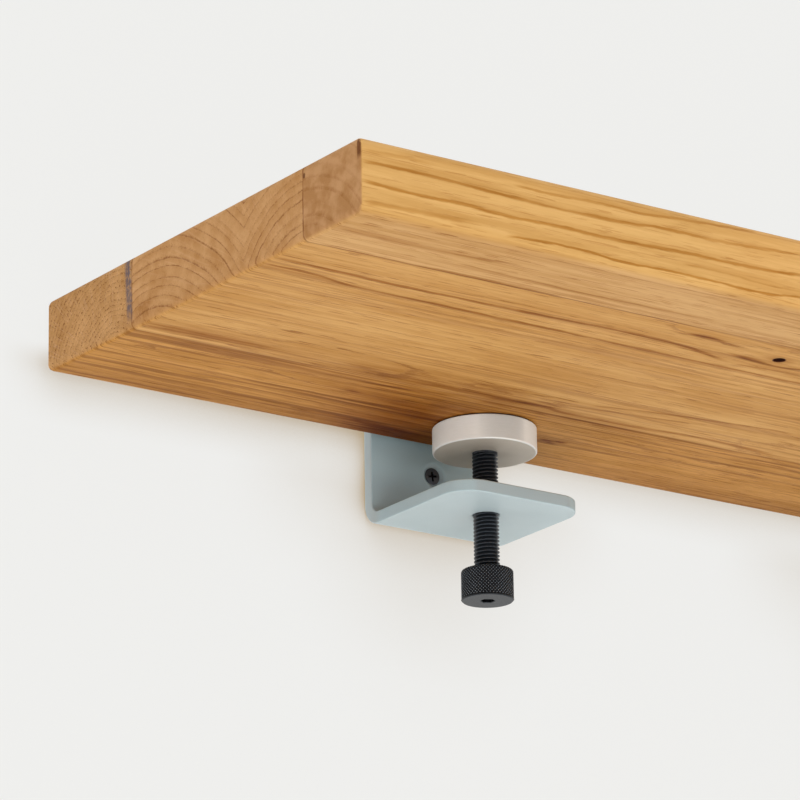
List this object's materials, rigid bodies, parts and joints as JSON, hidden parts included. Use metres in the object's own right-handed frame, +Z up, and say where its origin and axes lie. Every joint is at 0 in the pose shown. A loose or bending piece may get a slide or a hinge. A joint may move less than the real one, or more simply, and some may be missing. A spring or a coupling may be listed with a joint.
{
  "type": "wall-mounted nightstand",
  "caption": "Thick oak board held to a wall by two folded steel clamp brackets, each closed from below by a knurled screw with a round pad.",
  "frame": {"origin": "on the wall plane, midway between the two brackets and at half their height", "axes": "+X along the board to the right seen from the front, +Y into the wall, +Z up"},
  "size_m": [0.597, 0.252, 0.1042],
  "materials": {
    "oak": "oiled oak with open grain",
    "bracket_paint": "pale grey-blue fine powder coat",
    "nickel": "turned and satin nickel plated",
    "black_steel": "black oxide",
    "spring_steel": "bare spring steel",
    "rubber": "matt"
  },
  "bodies": {
    "shelf": {"rear_stave": "oak", "middle_stave": "oak", "front_stave": "oak", "left_bracket": "bracket_paint", "left_top_liner": "rubber", "left_upper_wall_screw": "black_steel", "left_lower_wall_screw": "black_steel", "right_bracket": "bracket_paint", "right_top_liner": "rubber", "right_upper_wall_screw": "black_steel", "right_lower_wall_screw": "black_steel"},
    "left_presser": {"left_pad": "nickel", "left_pad_liner": "rubber", "left_retaining_ring": "spring_steel"},
    "left_spindle": {"left_clamp_screw": "black_steel", "left_knob": "black_steel"},
    "right_presser": {"right_pad": "nickel", "right_pad_liner": "rubber", "right_retaining_ring": "spring_steel"},
    "right_spindle": {"right_clamp_screw": "black_steel", "right_knob": "black_steel"}
  },
  "joints": [
    {"name": "left_pad_travel", "type": "slide", "parent": "shelf", "child": "left_presser", "axis": [0, 0, -1], "range_m": [0, 0.01875]},
    {"name": "left_knob_turn", "type": "hinge", "parent": "left_presser", "child": "left_spindle", "pos_m": [-0.12, -0.039, -0.0634], "axis": [0, 0, -1], "range_deg": [0, 4500]},
    {"name": "right_pad_travel", "type": "slide", "parent": "shelf", "child": "right_presser", "axis": [0, 0, -1], "range_m": [0, 0.01875]},
    {"name": "right_knob_turn", "type": "hinge", "parent": "right_presser", "child": "right_spindle", "pos_m": [0.12, -0.039, -0.0634], "axis": [0, 0, -1], "range_deg": [0, 4500]}
  ],
  "couplings": [
    {"joint": "left_knob_turn", "follows": "left_pad_travel", "rad_per_m": 4188.8},
    {"joint": "right_knob_turn", "follows": "right_pad_travel", "rad_per_m": 4188.8}
  ]
}
